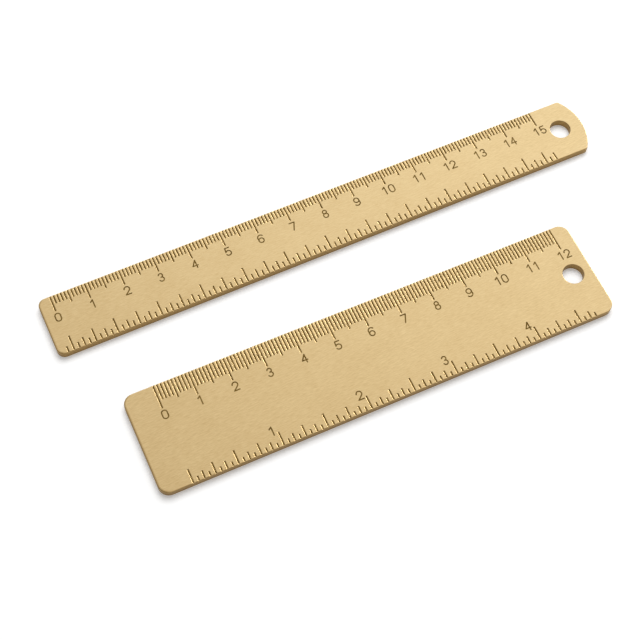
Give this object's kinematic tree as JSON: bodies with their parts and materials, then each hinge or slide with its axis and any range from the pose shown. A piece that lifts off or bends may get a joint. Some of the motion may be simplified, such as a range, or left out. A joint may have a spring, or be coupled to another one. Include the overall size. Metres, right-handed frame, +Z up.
{
  "type": "ruler set",
  "caption": "Pair of flat brass pocket rulers with engraved metric and inch scales, rounded corners and a hanging hole at one end.",
  "frame": {"origin": "middle of the wide ruler's underside, on the surface both rulers lie on", "axes": "+X along the wide ruler towards its hanging hole, +Y across it towards its centimetre edge, +Z up out of the engraved face"},
  "size_m": [0.1668, 0.0674, 0.0024],
  "materials": {
    "brushed_brass": "fine lengthwise brushing, satin",
    "dark_fill": "matt dark brown filling in the engraved marks"
  },
  "bodies": {
    "wide_ruler": {"wide_blade": "brushed_brass", "wide_millimetre_fill": "dark_fill", "wide_half_centimetre_fill": "dark_fill", "wide_centimetre_fill": "dark_fill", "wide_sixteenth_fill": "dark_fill", "wide_eighth_fill": "dark_fill", "wide_quarter_fill": "dark_fill", "wide_half_inch_fill": "dark_fill", "wide_inch_fill": "dark_fill", "wide_centimetre_numbers": "dark_fill", "wide_inch_numbers": "dark_fill"},
    "slim_ruler": {"slim_blade": "brushed_brass", "slim_millimetre_fill": "dark_fill", "slim_half_centimetre_fill": "dark_fill", "slim_centimetre_fill": "dark_fill", "slim_sixteenth_fill": "dark_fill", "slim_eighth_fill": "dark_fill", "slim_quarter_fill": "dark_fill", "slim_half_inch_fill": "dark_fill", "slim_inch_fill": "dark_fill", "slim_centimetre_numbers": "dark_fill"}
  },
  "joints": [
    {"name": "slim_lift", "type": "slide", "parent": "wide_ruler", "child": "slim_ruler", "axis": [0, 0, 1], "range_m": [0, 0.03]}
  ]
}
